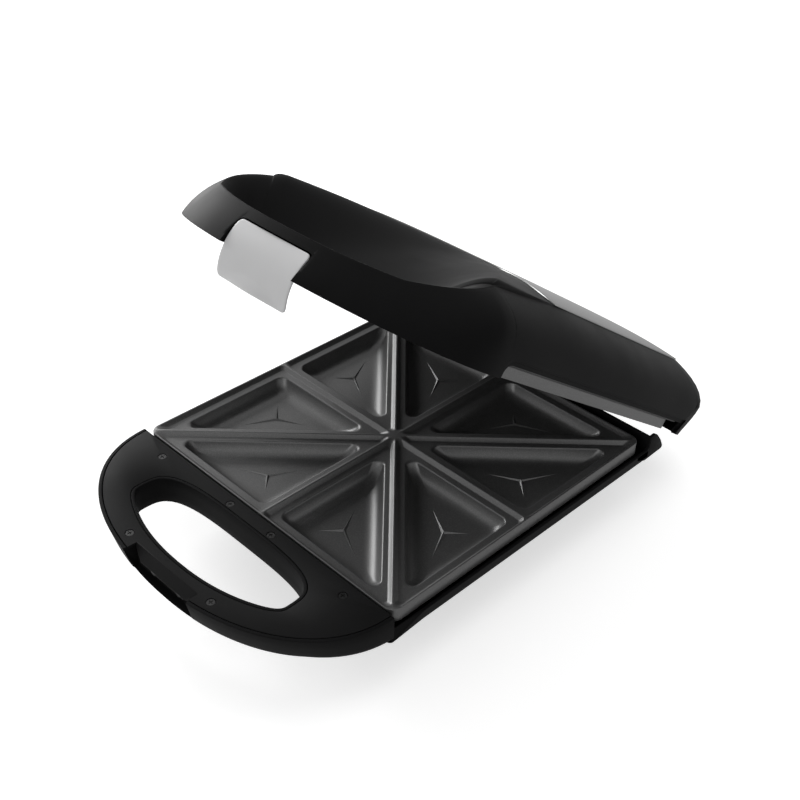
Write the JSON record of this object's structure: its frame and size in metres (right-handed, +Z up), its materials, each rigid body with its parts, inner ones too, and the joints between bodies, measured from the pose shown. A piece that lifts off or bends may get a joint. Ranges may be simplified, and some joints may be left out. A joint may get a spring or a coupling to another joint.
{
  "type": "sandwich toaster",
  "caption": "Electric sandwich toaster with pocketed cooking plates, a tilting domed lid with a steel top, a spring latch and a carrying hole through both handles.",
  "frame": {"origin": "centre of the overall box on the worktop, with the lid open as pictured", "axes": "+X to the right, +Y from the handle to the hinge, +Z up"},
  "size_m": [0.2564, 0.4214, 0.2641],
  "materials": {
    "housing": "fine satin black",
    "rubber": "matte black",
    "nonstick": "dark grey non-stick coating",
    "sheet": "plain reflector sheet",
    "element": "dark sheath",
    "ceramic": "plain",
    "fuse": "plain",
    "wire": "sleeved",
    "brushed": "brushed",
    "painted": "black",
    "latch": "silver",
    "steel": "plain"
  },
  "bodies": {
    "base": {"base_shell": "housing", "base_handle_cover": "housing", "base_cover_screws": "steel", "base_bottom_cover": "housing", "foot_front_left": "rubber", "foot_front_right": "rubber", "foot_back_left": "rubber", "foot_back_right": "rubber", "foot_screws": "steel", "lower_plate": "nonstick", "lower_plate_screws": "steel", "lower_element": "element", "lower_element_clips": "steel", "lower_reflector": "sheet", "thermostat": "ceramic", "thermal_fuse": "fuse", "terminal_block": "ceramic", "base_wiring": "wire", "cord_inlet": "rubber", "latch_catch": "steel", "catch_screws": "steel", "hinge_pin_left": "steel", "hinge_pin_right": "steel"},
    "lid": {"lid_shell": "housing", "top_panel": "brushed", "lid_handle_cover": "housing", "lid_cover_screws": "steel", "lid_frame": "painted", "upper_plate": "nonstick", "upper_plate_screws": "steel", "upper_element": "element", "upper_element_clips": "steel", "upper_reflector": "sheet", "hinge_arm_left": "painted", "hinge_arm_right": "painted", "arm_screws": "steel", "latch_bracket": "housing", "latch_pin": "steel", "latch_spring": "steel"},
    "latch": {"latch": "latch"}
  },
  "joints": [
    {"name": "lid_hinge", "type": "hinge", "parent": "base", "child": "lid", "pos_m": [0, 0.12797, 0.014], "axis": [-1, 0, 0], "range_deg": [-35.2, 33.8]},
    {"name": "latch_pivot", "type": "hinge", "parent": "lid", "child": "latch", "pos_m": [0, -0.10279, 0.25572], "axis": [-1, 0, 0], "range_deg": [0, 20], "stiffness_Nm_per_rad": 0.06, "springref_deg": -17.19}
  ]
}
